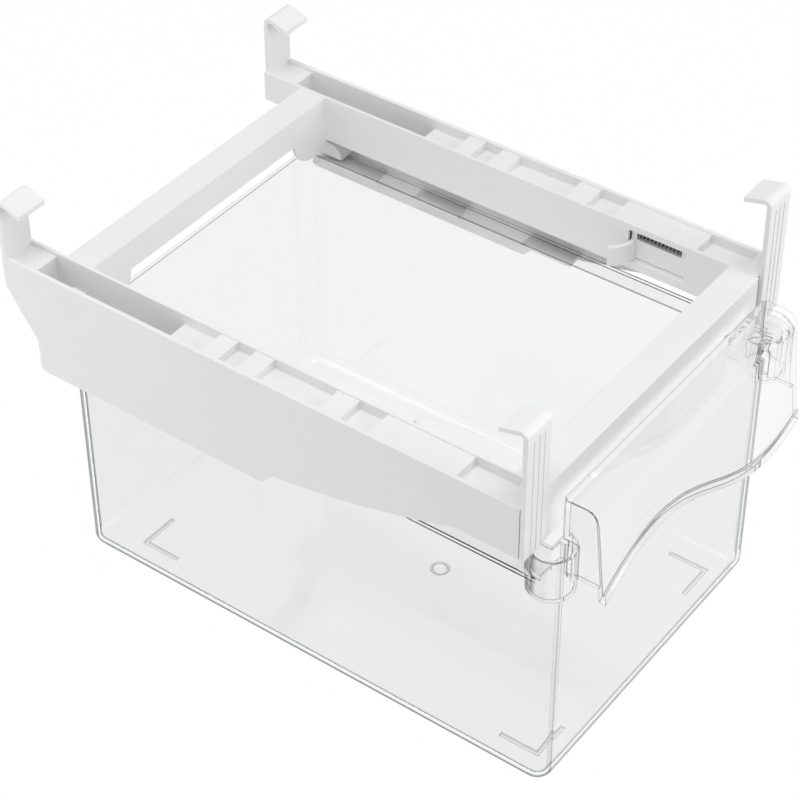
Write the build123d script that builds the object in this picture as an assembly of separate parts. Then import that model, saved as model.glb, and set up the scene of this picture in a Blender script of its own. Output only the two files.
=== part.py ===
from build123d import *
import math
import os

# Hanging drawer for a fridge shelf: a white frame of two side rails and two cross bars hooks
# over the shelf above it, and a clear bin slides in that frame like a drawer. The front hooks
# are spring-returned sliders, pushed forward with a finger tab to let the shelf's edge in.
# Lengths are in millimetres. +Z is up and the drawer opens towards -Y. While the pieces are
# made, Z is 0 at the rails' top rims and Y is 0 midway between the cross bars' rear edges.

# ---- side rails ----
frame_width = 196.0          # over the outer faces of the two rails
rail_width = 17.2            # one rail, outer face to inner face
rail_rear = 138.0            # rear end of a rail
rail_front = -130.0          # front end of a rail
skirt_wall = 2.0             # outer wall of a rail
skirt_height = 54.8          # outer wall at the rear and middle
skirt_front_height = 26.0    # outer wall at the front end
skirt_corner = 3.0
skirt_rear_height = 15.0     # rear end, above the sloping corner
skirt_slope_run = 16.0
skirt_slope_drop = 23.5
skirt_notch_y = -1.8         # where the deep part of the outer wall ends
skirt_notch_run = 6.2
skirt_notch_rise = 6.3
skirt_curve_mid = (-52.0, -40.2)
skirt_curve_end = -99.0
inner_wall = 1.5             # inner wall of a rail
inner_wall_height = 23.5
deck_wall = 1.8              # thickness of the stepped deck between the walls
land_depth = 0.8             # the deck's lands lie this far below the rims
pocket_depth = 5.0
channel_depth = 20.0         # open channel at the rear
platform_depth = 1.8         # landing inside the rear hook
deck_ends = [                # front end of each step of the deck, from rear to front
    (121.3, platform_depth),
    (49.5, channel_depth),
    (29.5, pocket_depth),
    (20.6, land_depth),
    (11.0, pocket_depth),
    (1.3, land_depth),
    (-31.3, pocket_depth),
    (-42.2, land_depth),
    (-56.3, pocket_depth),
    (-98.9, land_depth),
    (-122.0, pocket_depth),
    (rail_front, land_depth),
]

# ---- hooks ----
hook_width = 16.0
hook_wall = 2.2
hook_bend = 3.4              # outer radius of the bend at a hook's top
rear_hook_height = 31.4      # above the rims
rear_tab_reach = 13.2
rear_tab_drop = 4.8
front_hook_height = 40.0
front_tab_reach = 13.4
front_tab_drop = 3.6
front_plate_height = 26.0    # below the rims
plate_gap = 0.5              # between a rail's end and the front hook's plate
groove_width = 0.9           # grooves down the front of the plate
groove_depth = 0.4
groove_pitch = 3.6

# ---- slider, release tab and return spring ----
slide_gap = 0.3              # running gap all round a slider, and under the bin's flanges
guide_depth = 18.3           # floor that the slider runs on
guide_rear = -58.0
slider_rear = -66.7
slider_height = 9.9
slider_wall = 1.6
hook_travel = 12.0
window_rear = -66.0          # opening in the inner wall for the release tab
window_front = -95.0
window_top = 3.0
window_bottom = 19.4
push_wall = 2.6              # upstand that the spring pushes on
push_height = 4.9
tab_reach = 11.8
tab_sweep = 6.2
tab_thickness = 2.0
spring_diameter = 4.4
spring_wire = 0.6
spring_turns = 12
turn_points = 10             # straight runs in one turn of the wire
spring_seat = -92.4          # fixed end of the spring

# ---- cross bars ----
bar_depth = 14.4
bar_height = 15.2
bar_end_height = 28.5
bar_wall = 1.8
bar_foot = 10.0              # length of the deep part at each end
rear_bar_y = 108.9
front_bar_y = -123.8
tongue_width = 8.0
tongue_height = 4.6
tongue_gap = 0.15
rear_tongue_depth = 14.0     # top of the tongue below the rims
rear_tongue_reach = 4.6
barb_drop = 0.7
front_tongue_depth = 9.0

# ---- ledges that carry the bin ----
ledge_depth = 39.7
ledge_thickness = 2.0
ledge_reach = 9.8            # from the outer wall's inner face towards the bin
ledge_curl_radius = 9.0
ledge_curl_angle = 60.0
ledge_ends = [(114.0, 76.5), (57.4, 28.6), (-4.5, -33.6)]     # rear and front end of each
keeper_ends = (112.0, 97.0)  # block over the bin's flange at the rear
keeper_height = 7.4
keeper_gap = 0.5

# ---- bin ----
bin_rear = 118.0
bin_front = -138.4
bin_height = 130.6           # from the feet to the side walls' rim
bin_wall = 2.2
bin_corner = 8.0
bin_edge = 7.0               # fillet round the floor
ledge_gap = 0.8              # between a ledge and the bin's side
flange_side_gap = 3.0        # from a flange's edge to the rail's outer wall
flange_thickness = 2.0
collar_radius = 10.4         # rounded front corners below the hooks
collar_height = 21.8
collar_gap = 0.8             # below the hooks' plates
collar_inset = 2.8
foot_height = 0.8
foot_length = 20.0
foot_width = 1.8
foot_inset = (15.0, 12.0, 21.0)          # from the sides, the front and the rear
gate_place = (-4.0, -27.0)
gate_radius = 4.4
gate_height = 0.5

# ---- front panel and grip ----
panel_step = 1.0             # a side of the panel lies this far inside the grip's end
panel_depth = 6.5            # top edge below the rims
grip_side_gap = 5.0          # from an end of the grip to the front hook's plate
grip_reach = 7.0             # flat part in front of the panel
grip_round = 7.0
grip_lean = 6.0              # degrees, the grip leans out downwards
grip_wall = 2.2
grip_web_height = 38.5
grip_lip = 5.2               # height of the bead along the wavy edge
grip_bead = 1.0
wave_depth = 53.6            # middle of the wavy edge below the rims
wave_swing = 13.2
wave_crest = -36.0           # X of the edge's highest point
wave_half = 88.0             # from crest to trough
wave_points = 9

# ---- worked out from the sizes above ----
outer_x = frame_width / 2
skirt_x = outer_x - skirt_wall
inner_x = outer_x - rail_width
cavity_x = inner_x + inner_wall
slider_x = (cavity_x + slide_gap, skirt_x - slide_gap)
slider_floor = -guide_depth + slide_gap
slider_top = slider_floor + slider_height
plate_front = rail_front - plate_gap - hook_wall
spring_rear = slider_rear - push_wall
bin_half = skirt_x - ledge_reach - ledge_gap
bin_width = 2 * bin_half
flange_reach = skirt_x - flange_side_gap - bin_half
grip_width = 2 * (outer_x - hook_width - grip_side_gap)
panel_width = grip_width - 2 * panel_step
flange_z = -ledge_depth + slide_gap
rim_z = flange_z + flange_thickness
floor_z = rim_z - bin_height + foot_height
collar_top = -front_plate_height - collar_gap
panel_top = -panel_depth
grip_front = bin_front - grip_reach - grip_round


def block(x, y, z):
    """A box between two values along each axis."""
    size = [abs(side[1] - side[0]) for side in (x, y, z)]
    centre = [(side[0] + side[1]) / 2 for side in (x, y, z)]
    return Pos(*centre) * Box(*size)


def side_slab(outline, x):
    """An outline in the Y-Z plane, carried between two values of X."""
    return extrude(Plane.YZ.offset(x[0]) * outline, x[1] - x[0], dir=(1, 0, 0))


# ---- side rails ----
def skirt():
    """Outer wall: sloping rear corner, deep middle, notch, and a curve up to the front end."""
    slope_y = rail_rear - skirt_slope_run
    slope_z = -skirt_rear_height - skirt_slope_drop
    curve_start = (skirt_notch_y - skirt_notch_run, -skirt_height + skirt_notch_rise)
    curve_end = (skirt_curve_end, -skirt_front_height)
    corner = (slope_y, -skirt_height)
    edges = Polyline(
        curve_end, (rail_front, -skirt_front_height), (rail_front, 0), (rail_rear, 0),
        (rail_rear, -skirt_rear_height), (slope_y, slope_z), corner,
        (skirt_notch_y, -skirt_height), curve_start,
    ) + ThreePointArc(curve_start, skirt_curve_mid, curve_end)
    face = make_face(edges)
    rounded = face.vertices().sort_by_distance(Vertex(*corner, 0))[0]
    return side_slab(fillet(rounded, skirt_corner), (skirt_x, outer_x))


def deck():
    """Stepped floor between a rail's walls, with a riser wherever its level changes."""
    pieces = []
    x = (cavity_x, skirt_x)
    start, level = rail_rear, None
    for end, depth in deck_ends:
        pieces.append(block(x, (end, start), (-depth - deck_wall, -depth)))
        if level is not None:
            high, low = min(depth, level), max(depth, level)
            riser = (start - deck_wall, start) if depth < level else (start, start + deck_wall)
            pieces.append(block(x, riser, (-low - deck_wall, -high)))
        start, level = end, depth
    return pieces


def ledge(rear, front):
    """Flat shelf for the bin's flange, its rear end curled down."""
    middle = -ledge_depth - ledge_thickness / 2
    bend = rear - ledge_curl_radius * math.sin(math.radians(ledge_curl_angle))
    curl = JernArc((bend, middle), (1, 0), ledge_curl_radius, -ledge_curl_angle)
    path = Line((front, middle), (bend, middle)) + curl
    return side_slab(trace(path, ledge_thickness), (bin_half + ledge_gap, skirt_x))


def keeper():
    """Arched block that stops the bin's flange from tipping up at the rear."""
    rear, front = keeper_ends
    base = rim_z + keeper_gap
    outline = Polyline((front, base), (rear, base)) + ThreePointArc(
        (rear, base), ((rear + front) / 2, base + keeper_height), (front, base))
    return side_slab(make_face(outline), (bin_half + ledge_gap, skirt_x))


def hook_outline(outer_y, inward, bottom, top, reach, drop):
    """Plate with a bent-over tab that slopes down, seen from the side."""
    inner_y = outer_y + inward * hook_wall
    tip_y = outer_y + inward * reach
    under = top - drop * hook_wall / reach - hook_wall
    face = make_face(Polyline(
        (outer_y, bottom), (outer_y, top), (tip_y, top - drop),
        (tip_y, top - drop - hook_wall), (inner_y, under), (inner_y, bottom), close=True))
    bend = face.vertices().sort_by_distance(Vertex(outer_y, top, 0))[0]
    face = fillet(bend, hook_bend)
    root = face.vertices().sort_by_distance(Vertex(inner_y, under, 0))[0]
    return fillet(root, hook_bend - hook_wall)


def tongue_place(bar_y, depth, gap=0.0):
    """Y and Z extent of a cross bar's tongue, or of its slot with the gap round it."""
    y = (bar_y - tongue_width / 2 - gap, bar_y + tongue_width / 2 + gap)
    return y, (-depth - tongue_height - gap, -depth + gap)


def right_rail():
    hook = hook_outline(rail_rear, -1, -skirt_rear_height, rear_hook_height,
                        rear_tab_reach, rear_tab_drop)
    end_plate = block((inner_x, outer_x), (rail_rear - hook_wall, rail_rear),
                      (-skirt_rear_height, 0))
    cheek = block((inner_x, cavity_x), (rail_front, rail_rear), (-inner_wall_height, 0))
    cheek -= block((inner_x, cavity_x), (rail_rear - skirt_slope_run, rail_rear),
                   (-inner_wall_height, -skirt_rear_height))
    cheek -= block((inner_x, cavity_x), (window_front, window_rear), (-window_bottom, -window_top))
    for bar_y, depth in ((rear_bar_y, rear_tongue_depth), (front_bar_y, front_tongue_depth)):
        cheek -= block((inner_x, cavity_x), *tongue_place(bar_y, depth, tongue_gap))
    guide = block((cavity_x, skirt_x), (rail_front, guide_rear),
                  (-guide_depth - deck_wall, -guide_depth))
    guide_end = block((cavity_x, skirt_x), (guide_rear, guide_rear + deck_wall),
                      (-guide_depth - deck_wall, -land_depth))
    seat_x = (cavity_x, cavity_x + spring_diameter + 2 * slide_gap)
    seat = block(seat_x, (spring_seat - deck_wall, spring_seat), (slider_top + slide_gap, -land_depth))
    rail = skirt() + end_plate + cheek + guide + guide_end + seat + keeper()
    rail += side_slab(hook, (outer_x - hook_width, outer_x))
    for piece in deck() + [ledge(*ends) for ends in ledge_ends]:
        rail += piece
    return rail


# ---- front hooks ----
def release_tab():
    """Curved finger tab that reaches in through the rail's window."""
    root = (slider_x[0], slider_rear - push_wall / 2)
    tip = (root[0] - tab_reach, root[1] + tab_sweep)
    bulge = (root[0] - 0.55 * tab_reach, root[1] + 0.18 * tab_sweep)
    stem = Line((root[0] + slider_wall, root[1]), root)
    outline = trace(stem + ThreePointArc(root, bulge, tip), tab_thickness)
    return extrude(Plane.XY.offset(slider_floor) * outline, slider_height)


def right_front_hook():
    y = (rail_front - plate_gap, slider_rear)
    slider = block(slider_x, y, (slider_floor, slider_top))
    slider -= block((slider_x[0] + slider_wall, slider_x[1] - slider_wall),
                    (y[0], y[1] - slider_wall), (slider_floor, slider_top - slider_wall))
    push_x = (slider_x[0], slider_x[0] + spring_diameter + slide_gap)
    push = block(push_x, (spring_rear, slider_rear), (slider_top - slider_wall, slider_top + push_height))
    outline = hook_outline(plate_front, 1, -front_plate_height, front_hook_height,
                           front_tab_reach, front_tab_drop)
    plate = side_slab(outline, (outer_x - hook_width, outer_x))
    for i in (-1, 0, 1):
        x = outer_x - hook_width / 2 + i * groove_pitch
        plate -= block((x - groove_width / 2, x + groove_width / 2),
                       (plate_front, plate_front + groove_depth),
                       (-front_plate_height, front_hook_height - 2 * hook_bend))
    return slider + push + release_tab() + plate


def right_spring():
    """Compression spring along the slider, its wire on a helix."""
    length = spring_rear - spring_seat - spring_wire - 2 * slide_gap
    radius = (spring_diameter - spring_wire) / 2
    x = slider_x[0] + spring_diameter / 2
    z = slider_top + spring_diameter / 2 + slide_gap / 2
    start = spring_seat + spring_wire / 2 + slide_gap
    points = []
    for i in range(spring_turns * turn_points + 1):
        angle = 2 * math.pi * i / turn_points
        along = start + length * i / (spring_turns * turn_points)
        points.append((x + radius * math.cos(angle), along, z + radius * math.sin(angle)))
    wire = Polyline(*points)
    section = Plane(origin=wire @ 0, z_dir=wire % 0) * RegularPolygon(spring_wire / 2, 6)
    return sweep(section, path=wire, transition=Transition.RIGHT)


# ---- cross bars ----
def cross_bar(bar_y, tongue_depth, reach, barb):
    """Downward-open channel, deeper at its rounded ends, with a tongue into each rail."""
    foot = inner_x - bar_foot
    bend = bar_end_height - bar_height
    half = Polyline((0, -bar_height), (0, 0), (inner_x, 0), (inner_x, -bar_end_height),
                    (foot, -bar_end_height))
    corner = RadiusArc((foot, -bar_end_height), (foot - bend, -bar_height), bend)
    outline = make_face(half + corner + Line((foot - bend, -bar_height), (0, -bar_height)))
    outline += mirror(outline, about=Plane.YZ)
    rear = bar_y + bar_depth / 2
    solid = extrude(Plane.XZ.offset(-rear) * outline, bar_depth, dir=(0, -1, 0))
    solid -= block((-inner_x + bar_wall, inner_x - bar_wall),
                   (rear - bar_depth + bar_wall, rear - bar_wall), (-bar_end_height, -bar_wall))
    y, z = tongue_place(bar_y, tongue_depth)
    for side in (-1, 1):
        x = (side * inner_x, side * (inner_x + reach))
        solid += block(x, y, z)
        if barb:
            x = (side * (cavity_x + slide_gap), side * (inner_x + reach))
            solid += block(x, y, (z[0] - barb_drop, z[0]))
    return solid


# ---- bin ----
def rounded_prism(inset, bottom, top):
    """Box with rounded corners, inset from the bin's outside."""
    width = bin_width - 2 * inset
    length = bin_rear - bin_front - 2 * inset
    outline = RectangleRounded(width, length, bin_corner - inset)
    outline = Pos(0, (bin_rear + bin_front) / 2, top) * outline
    return extrude(outline, top - bottom, dir=(0, 0, -1))


def wave_line(rise):
    """The grip's lower edge seen from the front, one swing of a cosine."""
    half = grip_width / 2 + grip_wall
    points = []
    for i in range(wave_points):
        x = -half + 2 * half * i / (wave_points - 1)
        swing = wave_swing * math.cos(math.pi * (x - wave_crest) / wave_half)
        points.append((x, -wave_depth + swing + rise))
    return Spline(points)


def below_wave(rise):
    """Everything in front of the bin that lies under the wavy line."""
    line = wave_line(rise)
    left, right = line @ 0, line @ 1
    low = -3 * (wave_depth + wave_swing)
    outline = make_face(line + Polyline((right.X, right.Y), (right.X, low), (left.X, low),
                                        (left.X, left.Y)))
    start = bin_front - grip_wall / 2
    return extrude(Plane.XZ.offset(-start) * outline, 2 * (start - grip_front) + grip_round,
                   dir=(0, -1, 0))


def grip_block(inset, half):
    """Solid from the panel to the grip's face: flat top, rounded, leaning out downwards."""
    low = -wave_depth - wave_swing - grip_lip
    top = panel_top - inset
    lean = math.tan(math.radians(grip_lean))
    face_y = grip_front + inset
    outline = make_face(Polyline(
        (bin_front + grip_wall / 2, low), (bin_front + grip_wall / 2, top),
        (face_y - lean * inset, top), (face_y - lean * (top + inset - low), low), close=True))
    bend = outline.vertices().sort_by_distance(Vertex(face_y, top, 0))[0]
    return side_slab(fillet(bend, grip_round - inset), (-half, half))


def grip():
    """Handle on the front panel: a hooked channel with end webs and a beaded wavy edge."""
    half = grip_width / 2
    low = -3 * (wave_depth + wave_swing)
    shell = grip_block(0, half) - grip_block(grip_wall, half - grip_wall)
    under = grip_block(grip_wall, half)
    under -= block((-2 * half, 2 * half), (2 * grip_front, 0), (panel_top - grip_web_height, 0))
    bead = grip_block(-grip_bead, half) - grip_block(0, half)
    bead -= block((-2 * half, 2 * half), (2 * grip_front, 0), (panel_top - 2 * grip_round, 20))
    bead &= below_wave(grip_lip)
    return shell - under + bead - below_wave(0)


def collar():
    """Rounded front corner at the right, under the hook: closed on top and open below."""
    centre = Pos(bin_half - collar_inset, bin_front + 2.5, collar_top)
    down = (Align.CENTER, Align.CENTER, Align.MAX)
    outer = centre * Cylinder(collar_radius, collar_height, align=down)
    inner = centre * Pos(0, 0, -bin_wall) * Cylinder(collar_radius - bin_wall, collar_height, align=down)
    return outer - inner


def foot():
    """L-shaped foot under the front right corner of the floor, arms pointing inwards."""
    x = bin_half - foot_inset[0]
    y = bin_front + foot_inset[1]
    z = (floor_z - foot_height, floor_z)
    along = block((x - foot_length, x), (y, y + foot_width), z)
    return along + block((x - foot_width, x), (y, y + foot_length), z)


def bin_shell():
    """Tub with rounded corners and a rounded floor edge."""
    outer = rounded_prism(0, floor_z, rim_z)
    outer = fillet(outer.faces().sort_by(Axis.Z)[0].edges(), bin_edge)
    inner = rounded_prism(bin_wall, floor_z + bin_wall, rim_z)
    inner = fillet(inner.faces().sort_by(Axis.Z)[0].edges(), bin_edge - bin_wall)
    return outer - inner


def drawer_bin():
    inside = block((-bin_half + bin_wall, bin_half - bin_wall),
                   (bin_front + bin_wall, 0), (rim_z - collar_height, 0))
    corner = collar() - inside
    corner -= rounded_prism(bin_wall, floor_z + bin_wall, rim_z)
    panel_y = (bin_front, bin_front + bin_wall)
    shell = bin_shell() + corner + mirror(corner, about=Plane.YZ)
    shell += block((-bin_half + bin_corner, bin_half - bin_corner), panel_y, (rim_z, collar_top))
    shell += block((-panel_width / 2, panel_width / 2), panel_y, (collar_top, panel_top))
    for side in (-1, 1):
        x = (side * (bin_half - bin_wall), side * (bin_half + flange_reach))
        shell += block(x, (bin_front + 2.5, bin_rear - 3), (flange_z, rim_z))
    front_right = foot()
    rear_right = mirror(front_right, about=Plane.XZ)
    shift = bin_front + foot_inset[1] + bin_rear - foot_inset[2]
    rear_right = Pos(0, shift, 0) * rear_right
    for piece in (front_right, rear_right):
        shell = shell + piece + mirror(piece, about=Plane.YZ)
    gate = Cylinder(gate_radius, gate_height) - Cylinder(gate_radius - 1.0, gate_height)
    shell += Pos(*gate_place, floor_z + bin_wall + gate_height / 2) * gate
    return shell + grip()


# ---- the whole organiser ----
def mirrored(shape):
    return mirror(shape, about=Plane.YZ)


right = {"rail": right_rail(), "front_hook": right_front_hook(), "spring": right_spring()}
pieces = {
    "right_rail": right["rail"],
    "left_rail": mirrored(right["rail"]),
    "rear_crossbar": cross_bar(rear_bar_y, rear_tongue_depth, rear_tongue_reach, True),
    "front_crossbar": cross_bar(front_bar_y, front_tongue_depth, inner_wall - 0.1, False),
    "right_front_hook": right["front_hook"],
    "left_front_hook": mirrored(right["front_hook"]),
    "right_spring": right["spring"],
    "left_spring": mirrored(right["spring"]),
    "drawer_bin": drawer_bin(),
}

front_y = min(shape.bounding_box().min.Y for shape in pieces.values())
rear_y = max(shape.bounding_box().max.Y for shape in pieces.values())
low_z = min(shape.bounding_box().min.Z for shape in pieces.values())
place = Pos(0, -(front_y + rear_y) / 2, -low_z)
os.makedirs("parts", exist_ok=True)
for name, shape in pieces.items():
    placed = place * shape
    export_step(placed, f"parts/{name}.step")
    box = placed.bounding_box()
    print(name, len(placed.solids()), "solid", tuple(round(v, 2) for v in box.min),
          tuple(round(v, 2) for v in box.max), f"volume {placed.volume:.0f}")
print("shift to the final frame:", [round(v, 3) for v in place.position])
pitch = (spring_rear - spring_seat - spring_wire - 2 * slide_gap) / spring_turns
print(f"least gap between turns of a spring: {pitch - spring_wire:.2f} mm")
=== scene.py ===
import math

import bmesh
import bpy
import numpy as np
from mathutils import Matrix, Vector


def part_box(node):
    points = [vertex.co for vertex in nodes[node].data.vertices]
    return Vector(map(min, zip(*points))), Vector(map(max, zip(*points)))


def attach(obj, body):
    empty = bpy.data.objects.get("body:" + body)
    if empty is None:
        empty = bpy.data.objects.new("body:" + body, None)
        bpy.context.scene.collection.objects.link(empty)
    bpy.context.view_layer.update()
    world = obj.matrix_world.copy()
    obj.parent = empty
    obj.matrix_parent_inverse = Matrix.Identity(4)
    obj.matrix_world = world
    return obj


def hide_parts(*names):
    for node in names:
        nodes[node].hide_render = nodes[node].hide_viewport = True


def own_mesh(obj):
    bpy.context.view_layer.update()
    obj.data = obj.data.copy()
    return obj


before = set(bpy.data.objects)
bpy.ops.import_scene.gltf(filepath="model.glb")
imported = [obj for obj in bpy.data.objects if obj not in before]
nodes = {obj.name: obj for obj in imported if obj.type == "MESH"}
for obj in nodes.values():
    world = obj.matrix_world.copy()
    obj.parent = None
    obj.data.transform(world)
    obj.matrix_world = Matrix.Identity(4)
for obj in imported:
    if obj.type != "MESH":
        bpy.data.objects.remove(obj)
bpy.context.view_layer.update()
scene = bpy.context.scene
print("loaded", len(nodes), "nodes")

railNodes = ["left_rail", "right_rail"]
barNodes = ["rear_crossbar", "front_crossbar"]
hookNodes = ["left_front_hook", "right_front_hook"]


def hexToLinear(text):
    # sRGB hex to linear light: the usual two-part curve, channel by channel, opaque
    values = [int(text.lstrip("#")[i:i + 2], 16) / 255 for i in (0, 2, 4)]
    linear = [v / 12.92 if v <= 0.04045 else ((v + 0.055) / 1.055) ** 2.4 for v in values]
    return (*linear, 1.0)


def addNode(tree, kind, settings=None, values=None, links=None):
    # settings are the node's own properties, values go on its sockets, links feed its sockets
    node = tree.nodes.new(kind)
    for name, value in (settings or {}).items():
        setattr(node, name, value)
    for name, value in (values or {}).items():
        node.inputs[name].default_value = value
    for name, socket in (links or {}).items():
        tree.links.new(socket, node.inputs[name])
    return node


def newMaterial(name):
    material = bpy.data.materials.new(name)
    material.use_nodes = True
    material.node_tree.nodes.clear()
    return material, material.node_tree


whiteAbs = {
    "colour": "#F1F1F1",      # near-white ABS
    "shade": "#EAEBEB",       # its flow marks
    "cloudSize": 55.0,        # mm, slow flow marks from moulding
    "grainSize": 0.35,        # mm, spark-eroded mould skin, drawn coarser than the real 0.05
    "grainDepth": 0.012,      # mm
    "grainStrength": 0.25,
    "detail": 2.0,            # octaves of both patterns
    "roughness": 0.42,
    "glossier": 0.05,         # how far the clouds swing the roughness to either side
    "duller": 0.06,
    "ior": 1.53,
}


def makeMouldedPlastic(name, look):
    # moulded ABS: fine spark-eroded skin with a satin sheen, and slow clouds of flow
    material, tree = newMaterial(name)
    place = addNode(tree, "ShaderNodeTexCoord").outputs["Object"]
    cloud = addNode(tree, "ShaderNodeTexNoise", values={
        "Scale": 1000 / look["cloudSize"], "Detail": look["detail"]}, links={"Vector": place})
    tint = addNode(tree, "ShaderNodeMix", {"data_type": "RGBA"}, links={"Factor": cloud.outputs["Fac"]})
    # sockets 6 and 7 are the colours A and B, output 2 is their mix
    tint.inputs[6].default_value = hexToLinear(look["shade"])
    tint.inputs[7].default_value = hexToLinear(look["colour"])
    grain = addNode(tree, "ShaderNodeTexNoise", values={
        "Scale": 1000 / look["grainSize"], "Detail": look["detail"]}, links={"Vector": place})
    rough = addNode(tree, "ShaderNodeMapRange", values={
        "To Min": look["roughness"] - look["glossier"], "To Max": look["roughness"] + look["duller"]},
        links={"Value": cloud.outputs["Fac"]})
    bump = addNode(tree, "ShaderNodeBump", values={
        "Strength": look["grainStrength"], "Distance": look["grainDepth"] / 1000},
        links={"Height": grain.outputs["Fac"]})
    shader = addNode(tree, "ShaderNodeBsdfPrincipled", values={"IOR": look["ior"]}, links={
        "Base Color": tint.outputs[2], "Roughness": rough.outputs["Result"],
        "Normal": bump.outputs["Normal"]})
    addNode(tree, "ShaderNodeOutputMaterial", links={"Surface": shader.outputs["BSDF"]})
    return material


clearStyrene = {
    "stops": [                # how slanted a wall is seen, 0 face on to 1 on edge, and the colour it is drawn with; towards the edge this is painted shade
        (0.70, "#F3F4F4"),    # face on, a 2.2 mm wall takes little from the light
        (0.80, "#B9BCBE"),
        (0.88, "#63666A"),
        (1.00, "#1E2022"),    # along the wall: partly the light crossing centimetres of it, partly painted shade for the dark surroundings the wall bends into view
    ],
    "ior": 1.04,              # polystyrene is 1.59; bent less, so that light isn't trapped in the rims
    "coatIor": 1.5,           # the gloss of the polished skin
    "roughness": 0.015,
    "shadow": "#F4F5F5",      # what each wall lets through of the lamps' light
}
mattFeet = dict(clearStyrene, roughness=0.25, stops=[
    (0.30, "#DADCDE"),        # the feet's skin is eroded, so they show as grey marks through the floor
    (0.60, "#B5B8BA"),
    (0.80, "#85888B"),
    (1.00, "#55585B"),
])
roundedShadeStyrene = dict(clearStyrene, stops=[
    (0.44, "#F3F4F4"),        # painted shade: a rounded edge is darkened sooner, for the light it bends away, which draws the bin's outline
    (0.56, "#8E9194"),
    (0.70, "#303336"),
    (1.00, "#101112"),
])
gripHighlightStyrene = dict(clearStyrene, stops=[
    (0.56, "#FEFEFE"),        # painted highlight: the grip is drawn paler than the walls, for the light from above that it catches
    (0.74, "#C9CCCE"),
    (0.88, "#75787B"),
    (1.00, "#2A2C2E"),
])
bevelShadeStyrene = dict(clearStyrene, stops=[
    (0.00, "#989B9E"),        # painted shade: every bevelled edge is drawn as a thin grey line, for the light its rounding bends away
    (0.40, "#7B7E81"),
    (0.70, "#3A3D40"),
    (1.00, "#101112"),
])


def makeClearStyrene(name, look):
    # clear polystyrene from a polished mould: glassy, with dark lines painted as shade into its colour
    # where a wall is seen on edge
    material, tree = newMaterial(name)
    facing = addNode(tree, "ShaderNodeLayerWeight", values={"Blend": 0.5}).outputs["Facing"]
    ramp = addNode(tree, "ShaderNodeValToRGB", links={"Fac": facing})
    stops = ramp.color_ramp.elements
    while len(stops) < len(look["stops"]):
        stops.new(1.0)
    for stop, (slant, colour) in zip(stops, look["stops"]):
        stop.position = slant
        stop.color = hexToLinear(colour)
    shader = addNode(tree, "ShaderNodeBsdfPrincipled", values={
        "IOR": look["ior"], "Roughness": look["roughness"], "Transmission Weight": 1.0,
        "Coat Weight": 1.0, "Coat IOR": look["coatIor"], "Coat Roughness": look["roughness"]},
        links={"Base Color": ramp.outputs["Color"]})
    lampRays = addNode(tree, "ShaderNodeLightPath").outputs["Is Shadow Ray"]
    letThrough = addNode(tree, "ShaderNodeBsdfTransparent", values={"Color": hexToLinear(look["shadow"])})
    mix = addNode(tree, "ShaderNodeMixShader", links={"Fac": lampRays})
    tree.links.new(shader.outputs["BSDF"], mix.inputs[1])
    tree.links.new(letThrough.outputs["BSDF"], mix.inputs[2])
    addNode(tree, "ShaderNodeOutputMaterial", links={"Surface": mix.outputs["Shader"]})
    return material


springSteel = {
    "colour": "#8C8D8F",
    "roughness": 0.3,
    "hazeSize": 0.4,          # mm, drawing marks along the wire, drawn coarser than the real ones
    "detail": 2.0,
    "glossier": 0.08,
    "duller": 0.1,
}


def makeSpringSteel(name, look):
    # drawn and zinc-plated spring wire: bright metal with a slight drawn haze
    material, tree = newMaterial(name)
    place = addNode(tree, "ShaderNodeTexCoord").outputs["Object"]
    haze = addNode(tree, "ShaderNodeTexNoise", values={
        "Scale": 1000 / look["hazeSize"], "Detail": look["detail"]}, links={"Vector": place})
    rough = addNode(tree, "ShaderNodeMapRange", values={
        "To Min": look["roughness"] - look["glossier"], "To Max": look["roughness"] + look["duller"]},
        links={"Value": haze.outputs["Fac"]})
    shader = addNode(tree, "ShaderNodeBsdfPrincipled", values={
        "Base Color": hexToLinear(look["colour"]), "Metallic": 1.0},
        links={"Roughness": rough.outputs["Result"]})
    addNode(tree, "ShaderNodeOutputMaterial", links={"Surface": shader.outputs["BSDF"]})
    return material


frameWhite = makeMouldedPlastic("white ABS, moulded", whiteAbs)
hookWhite = makeMouldedPlastic("white POM, moulded", dict(whiteAbs, colour="#F3F3F3", roughness=0.36))
binClear = makeClearStyrene("clear polystyrene, polished mould", clearStyrene)
footClear = makeClearStyrene("clear polystyrene, eroded feet", mattFeet)
roundedShadeClear = makeClearStyrene("clear polystyrene, rounded edges with painted shade", roundedShadeStyrene)
gripHighlightClear = makeClearStyrene("clear polystyrene, grip with painted highlight", gripHighlightStyrene)
bevelShadeClear = makeClearStyrene("clear polystyrene, bevels with painted shade", bevelShadeStyrene)
wireSteel = makeSpringSteel("zinc-plated spring wire", springSteel)
print("materials made")


edges = {
    "white": {"width": 0.00025, "segments": 2, "clamp": True},    # m, a quarter of a mm, as moulded
    "clear": {"width": 0.00035, "segments": 2, "clamp": False},   # m, all round, also at small steps
    "merge": 2e-6,            # m, vertices nearer than this are one
    "flat": 0.3,              # degrees, triangles that turn less are one face
    "bevelled": 35,           # degrees, an edge that turns more is broken
    "sharp": 30,              # degrees, an edge that turns more isn't shaded smooth
    "flatWeight": 100,        # how much the large faces rule the shading beside a bevel
}
binFaces = {
    "footHeight": 0.0007,     # m, a face whose middle lies lower belongs to one of the four feet
    "gripFront": -0.1282,     # m, what lies in front of this plane is the grip, which gets the painted highlight
    "straight": 0.985,        # a normal's largest part, below which the face is part of a rounded edge, which gets painted shade
}


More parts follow.
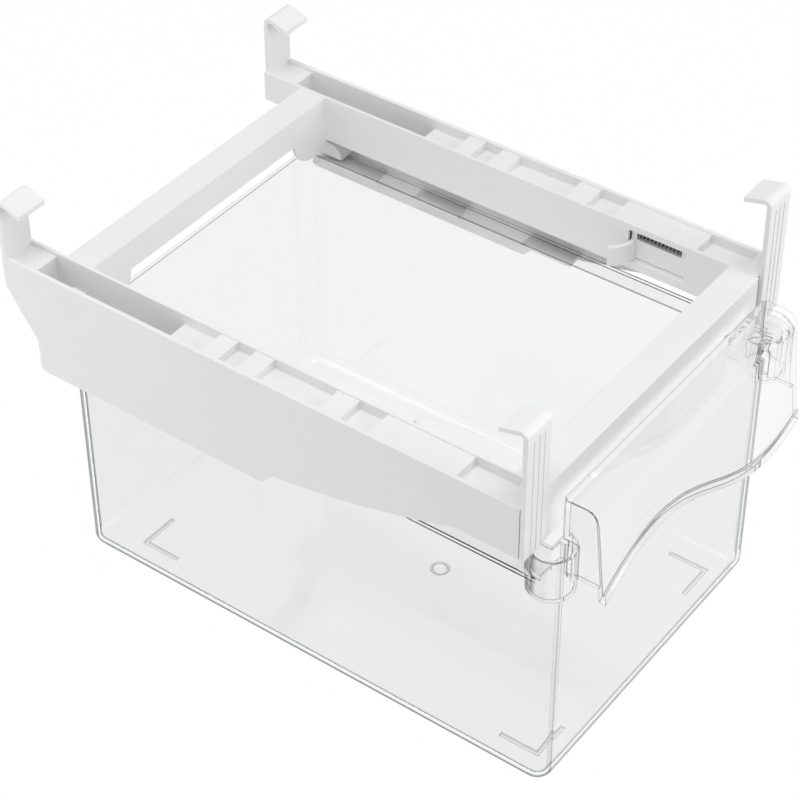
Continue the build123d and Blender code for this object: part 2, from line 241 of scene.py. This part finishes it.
def sortBinFaces(mesh):
    # finish of each face by its place and normal: 0 wall, 1 foot, 2 rounded edge with painted shade, 3 grip
    # with painted highlight
    normal = np.empty(len(mesh.polygons) * 3)
    middle = np.empty(len(mesh.polygons) * 3)
    mesh.polygons.foreach_get("normal", normal)
    mesh.polygons.foreach_get("center", middle)
    normal = np.abs(normal.reshape(-1, 3)).max(axis=1)
    middle = middle.reshape(-1, 3)
    finish = np.where(normal < binFaces["straight"], 2, 0)
    finish = np.where(middle[:, 1] < binFaces["gripFront"], 3, finish)
    finish = np.where(middle[:, 2] < binFaces["footHeight"], 1, finish)
    mesh.polygons.foreach_set("material_index", finish.astype(np.int32))


def softened(node, name, finishes, body, edge):
    # a copy of the solid with its triangles merged to flat faces, and its edges rounded;
    # the last of several finishes, on the bin the painted edge shade, goes on the rounding itself
    mesh = nodes[node].data.copy()
    mesh.name = name
    bm = bmesh.new()
    bm.from_mesh(mesh)
    bmesh.ops.remove_doubles(bm, verts=bm.verts, dist=edges["merge"])
    bmesh.ops.dissolve_limit(bm, angle_limit=math.radians(edges["flat"]), verts=bm.verts, edges=bm.edges)
    bmesh.ops.connect_verts_concave(bm, faces=bm.faces)   # keeps each flat face simple for the bevel
    bm.to_mesh(mesh)
    bm.free()
    mesh.materials.clear()
    for finish in finishes:
        mesh.materials.append(finish)
    piece = bpy.data.objects.new(name, mesh)
    scene.collection.objects.link(piece)
    bevel = piece.modifiers.new("edge", "BEVEL")
    bevel.width = edge["width"]
    bevel.segments = edge["segments"]
    bevel.limit_method = "ANGLE"
    bevel.angle_limit = math.radians(edges["bevelled"])
    bevel.use_clamp_overlap = edge["clamp"]
    if len(finishes) > 1:
        sortBinFaces(mesh)
        # on the bin, the bevels get the last material, their painted shade
        bevel.material = len(finishes) - 1
    mesh.polygons.foreach_set("use_smooth", np.ones(len(mesh.polygons), dtype=bool))
    mesh.set_sharp_from_angle(angle=math.radians(edges["sharp"]))
    flat = piece.modifiers.new("flat faces", "WEIGHTED_NORMAL")
    flat.mode = "FACE_AREA"
    flat.weight = edges["flatWeight"]
    flat.keep_sharp = True
    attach(piece, body)
    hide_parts(node)
    return piece


for nodeName in railNodes + barNodes:
    softened(nodeName, nodeName + "_moulded", [frameWhite], "frame", edges["white"])
for nodeName in hookNodes:
    body = nodeName.replace("_front", "")
    softened(nodeName, nodeName + "_moulded", [hookWhite], body, edges["white"])
binMaterialsWithPaintedLight = [binClear, footClear, roundedShadeClear, gripHighlightClear, bevelShadeClear]
softened("drawer_bin", "clear_bin", binMaterialsWithPaintedLight, "drawer", edges["clear"])
print("moulded pieces made")


spring = {
    "turns": 12,
    "wire": 0.0006,           # m
    "closedTurns": 1.0,       # coils at each end that lie closer
    "closedPitch": 0.5,       # their pitch, as a share of the other coils'
    "around": 10,             # points round the wire
    "perTurn": 32,            # points along a turn
}


def makeSpring(node, name):
    # a tube round a helix: the centre line is (cos t, pitch(t), sin t) times the coil's radius,
    # and the tube's ring is spanned by the outward and the axial direction at each point
    low, high = (np.array(v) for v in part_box(node))
    radius = (high[2] - low[2] - spring["wire"]) / 2
    centre = (low + high) / 2
    count = spring["turns"] * spring["perTurn"] + 1
    t = np.linspace(0, spring["turns"] * 2 * math.pi, count)
    turn = t / (2 * math.pi)
    inside = np.clip(np.minimum(turn, spring["turns"] - turn) / spring["closedTurns"], 0, 1)
    speed = spring["closedPitch"] + inside * (1 - spring["closedPitch"])
    along = np.cumsum(speed) - speed[0]
    along = along / along[-1]
    start, end = low[1] + spring["wire"] / 2, high[1] - spring["wire"] / 2
    y = start + (end - start) * along
    out = np.stack([np.cos(t), np.zeros(count), np.sin(t)], axis=1)
    line = out * radius
    line[:, 1] += y
    line[:, 0] += centre[0]
    line[:, 2] += centre[2]
    axial = np.array([0.0, 1.0, 0.0])
    a = np.linspace(0, 2 * math.pi, spring["around"], endpoint=False)
    ring = out[:, None, :] * np.cos(a)[None, :, None] + axial * np.sin(a)[None, :, None]
    points = line[:, None, :] + ring * spring["wire"] / 2
    rows, cols = points.shape[:2]
    index = np.arange(rows * cols).reshape(rows, cols)
    right = np.roll(index, -1, axis=1)
    faces = np.stack([index[:-1], right[:-1], right[1:], index[1:]], axis=-1).reshape(-1, 4)
    mesh = bpy.data.meshes.new(name)
    caps = [tuple(int(v) for v in index[0][::-1]), tuple(int(v) for v in index[-1])]
    mesh.from_pydata(points.reshape(-1, 3), [], [tuple(f) for f in faces.tolist()] + caps)
    mesh.polygons.foreach_set("use_smooth", np.ones(len(mesh.polygons), dtype=bool))
    bm = bmesh.new()
    bm.from_mesh(mesh)
    bmesh.ops.recalc_face_normals(bm, faces=bm.faces)
    bm.to_mesh(mesh)
    bm.free()
    mesh.materials.append(wireSteel)
    piece = bpy.data.objects.new(name, mesh)
    scene.collection.objects.link(piece)
    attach(piece, "frame")
    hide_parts(node)
    return piece


for side in ("left", "right"):
    coil = makeSpring(side + "_spring", side + "_coil")
    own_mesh(coil)
print("springs made")


studio = {
    "floorColour": "#EEEEEE",
    "floorSize": 3.0,          # m
    "floorGap": 0.0001,        # m, keeps the paper from sharing a plane with the feet
    "backdrop": 0.98,          # how much of the floor's look is plain white behind the object
    "worldLight": 0.45,
    # lamps: watts, and the side and the place of a square panel in m
    "key": {"power": 8.0, "size": 0.9, "place": (-0.25, -0.1, 1.45)},
    "side": {"power": 0.7, "size": 0.4, "place": (-0.42, 0.38, 0.3)},
    "fill": {"power": 6.5, "size": 0.9, "place": (0.35, -1.3, 0.6)},
    "aim": (0, 0, 0.1),        # m, where the lamps point
    "frame": 800,              # pixels, the photograph's side
    "sensor": 36,              # mm
    "farthest": 20,            # m, as far as the camera sees
    "camera": {"azimuth": -53.945, "elevation": 39.646, "roll": 0.076, "distance": 1.0774,
               "target": (0.0, 0.0007, 0.118), "focal": 2455.18, "centre": (416.33, 359.50)},
}


def seesBackdrop(tree):
    # 1 for what the camera, a mirror or the clear bin sees, 0 for light that falls on the object
    path = addNode(tree, "ShaderNodeLightPath")
    first = addNode(tree, "ShaderNodeMath", {"operation": "MAXIMUM"})
    tree.links.new(path.outputs["Is Camera Ray"], first.inputs[0])
    tree.links.new(path.outputs["Is Glossy Ray"], first.inputs[1])
    both = addNode(tree, "ShaderNodeMath", {"operation": "MAXIMUM"})
    tree.links.new(first.outputs[0], both.inputs[0])
    tree.links.new(path.outputs["Is Transmission Ray"], both.inputs[1])
    return both.outputs[0]


def makeWorld():
    world = bpy.data.worlds.new("studio")
    scene.world = world
    world.use_nodes = True
    tree = world.node_tree
    tree.nodes.clear()
    dim = addNode(tree, "ShaderNodeBackground", values={
        "Color": (1, 1, 1, 1), "Strength": studio["worldLight"]})
    white = addNode(tree, "ShaderNodeBackground", values={"Color": (1, 1, 1, 1), "Strength": 1.0})
    mix = addNode(tree, "ShaderNodeMixShader", links={"Fac": seesBackdrop(tree)})
    tree.links.new(dim.outputs[0], mix.inputs[1])
    tree.links.new(white.outputs[0], mix.inputs[2])
    addNode(tree, "ShaderNodeOutputWorld", links={"Surface": mix.outputs[0]})


def makeFloor():
    # a flat square at the height the bin stands on
    half = studio["floorSize"] / 2
    mesh = bpy.data.meshes.new("floor")
    z = -studio["floorGap"]
    mesh.from_pydata([(-half, -half, z), (half, -half, z), (half, half, z), (-half, half, z)], [],
                     [(0, 1, 2, 3)])
    material, tree = newMaterial("white paper sweep")
    paper = addNode(tree, "ShaderNodeBsdfDiffuse", values={"Color": hexToLinear(studio["floorColour"])})
    plain = addNode(tree, "ShaderNodeEmission", values={"Color": (1, 1, 1, 1), "Strength": 1.0})
    share = addNode(tree, "ShaderNodeMath", {"operation": "MULTIPLY"})
    tree.links.new(seesBackdrop(tree), share.inputs[0])
    share.inputs[1].default_value = studio["backdrop"]
    mix = addNode(tree, "ShaderNodeMixShader", links={"Fac": share.outputs[0]})
    tree.links.new(paper.outputs[0], mix.inputs[1])
    tree.links.new(plain.outputs[0], mix.inputs[2])
    addNode(tree, "ShaderNodeOutputMaterial", links={"Surface": mix.outputs[0]})
    mesh.materials.append(material)
    floor = bpy.data.objects.new("floor", mesh)
    scene.collection.objects.link(floor)


def makeLamp(name):
    look = studio[name]
    lamp = bpy.data.lights.new(name, "AREA")
    lamp.energy = look["power"]
    lamp.size = look["size"]
    holder = bpy.data.objects.new(name, lamp)
    holder.location = look["place"]
    aim = Vector(studio["aim"]) - holder.location
    holder.rotation_euler = aim.to_track_quat("-Z", "Y").to_euler()
    scene.collection.objects.link(holder)


def makeCamera():
    # fitted to the photograph: direction in degrees, distance in m, focal length and centre in pixels
    view = studio["camera"]
    a, e, r = (math.radians(view[k]) for k in ("azimuth", "elevation", "roll"))
    back = Vector((math.sin(a) * math.cos(e), -math.cos(a) * math.cos(e), math.sin(e)))
    right = (-back).cross(Vector((0, 0, 1))).normalized()
    up = right.cross(-back)
    turnedRight = math.cos(r) * right + math.sin(r) * up
    turnedUp = -math.sin(r) * right + math.cos(r) * up
    lens = bpy.data.cameras.new("photo camera")
    side = studio["frame"]
    lens.sensor_width = studio["sensor"]
    lens.lens = view["focal"] * studio["sensor"] / side
    lens.shift_x = (side / 2 - view["centre"][0]) / side
    lens.shift_y = (view["centre"][1] - side / 2) / side
    lens.clip_end = studio["farthest"]
    camera = bpy.data.objects.new("photo camera", lens)
    turn = Matrix((turnedRight, turnedUp, back)).transposed().to_4x4()
    camera.matrix_world = Matrix.Translation(Vector(view["target"]) + back * view["distance"]) @ turn
    scene.collection.objects.link(camera)
    scene.camera = camera


makeWorld()
makeFloor()
for lampName in ("key", "side", "fill"):
    makeLamp(lampName)
makeCamera()
scene.view_settings.view_transform = "Standard"
print("studio made")
